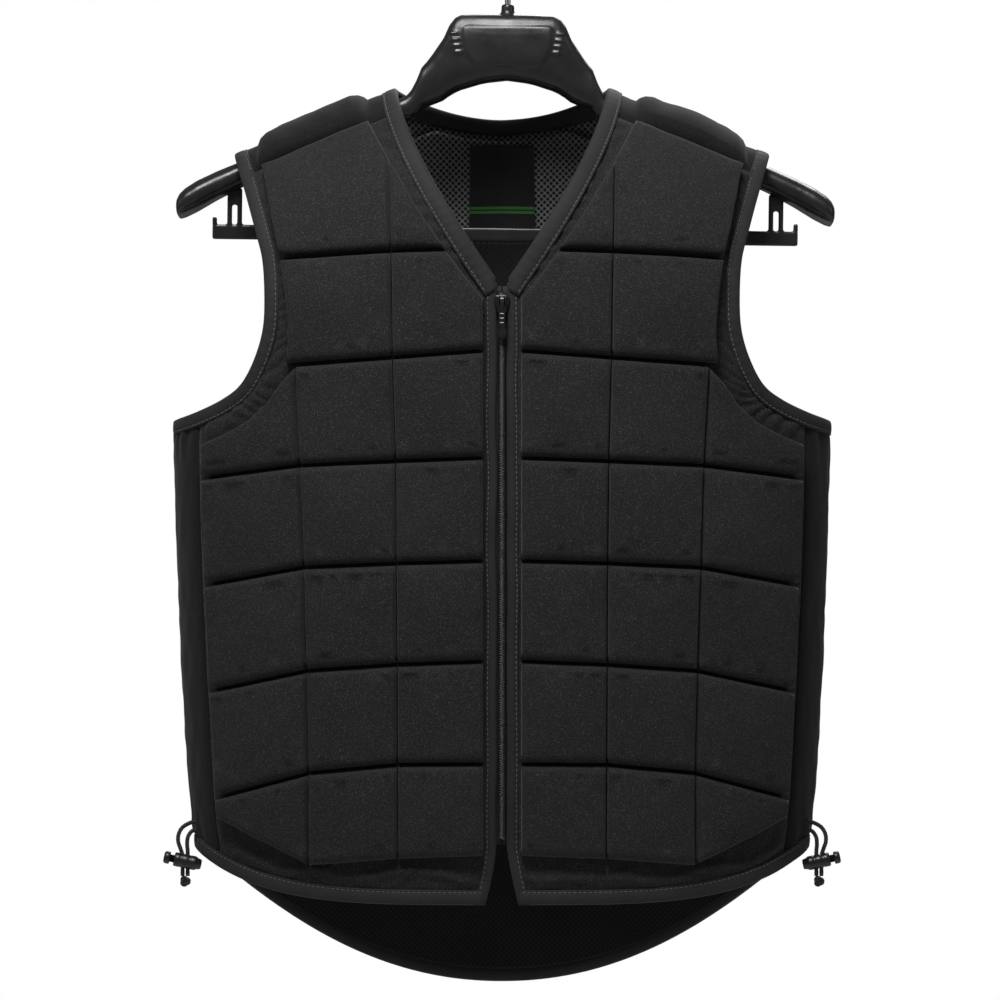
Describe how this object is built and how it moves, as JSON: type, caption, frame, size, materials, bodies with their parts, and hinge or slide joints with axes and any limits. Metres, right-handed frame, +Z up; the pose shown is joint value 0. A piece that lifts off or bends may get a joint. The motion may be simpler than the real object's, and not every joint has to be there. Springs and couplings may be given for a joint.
{
  "type": "equestrian body protector on a hanger",
  "caption": "Sleeveless quilted foam riding vest with a front zip, bound edges, a dropped tail and side hem cords with locks, hanging on a moulded clothes hanger with a wire hook.",
  "frame": {"origin": "the bend of the hanger's hook, where its wire rests on a rail", "axes": "the front with the zip faces -Y, +X is towards the wearer's left, +Z is up"},
  "size_m": [0.457, 0.1974, 0.7242],
  "materials": {
    "shell": "matt, finely speckled knit over foam",
    "side_knit": "matt stretch knit",
    "binding": "matt woven tape",
    "mesh_lining": "matt open mesh",
    "label": "satin woven label",
    "zip_nylon": "satin coil",
    "zip_metal": "dark plated metal",
    "hanger_plastic": "satin",
    "hook_metal": "bright plated wire",
    "lock_plastic": "satin",
    "cord": "braided cord with light flecks"
  },
  "bodies": {
    "root": {"front_panel_left": "shell", "front_panel_right": "shell", "back_panel": "shell", "shoulder_pad_left": "shell", "shoulder_pad_right": "shell", "side_panel_left": "side_knit", "side_panel_right": "side_knit", "neck_binding": "binding", "armhole_binding_left": "binding", "armhole_binding_right": "binding", "hem_binding_left": "binding", "hem_binding_right": "binding", "tail_binding": "binding", "front_facing_left": "binding", "front_facing_right": "binding", "zip_tape_left": "binding", "zip_tape_right": "binding", "zip_coil": "zip_nylon", "zip_slider": "zip_metal", "lining_neck": "mesh_lining", "lining_tail": "mesh_lining", "label": "label", "hanger_body": "hanger_plastic", "hanger_bar": "hanger_plastic", "hanger_hook": "hook_metal", "hem_cord_left_outer": "cord", "hem_cord_left_inner": "cord", "hem_cord_right_outer": "cord", "hem_cord_right_inner": "cord", "cord_lock_body_left": "lock_plastic", "cord_lock_body_right": "lock_plastic", "cord_knot_left": "cord", "cord_knot_right": "cord"},
    "pull": {"zip_pull": "zip_metal"},
    "plunger_left": {"cord_lock_plunger_left": "lock_plastic"},
    "plunger_right": {"cord_lock_plunger_right": "lock_plastic"}
  },
  "joints": [
    {"name": "zip_pull_hinge", "type": "hinge", "parent": "root", "child": "pull", "pos_m": [0, -0.09214, -0.2529], "axis": [-1, 0, 0], "range_deg": [0, 150]},
    {"name": "cord_lock_left_press", "type": "slide", "parent": "root", "child": "plunger_left", "axis": [-0.9781, 0, -0.2079], "range_m": [0, 0.0025], "stiffness_N_per_m": 400, "springref_m": -0.004},
    {"name": "cord_lock_right_press", "type": "slide", "parent": "root", "child": "plunger_right", "axis": [0.9781, 0, -0.2079], "range_m": [0, 0.0025], "stiffness_N_per_m": 400, "springref_m": -0.004}
  ]
}
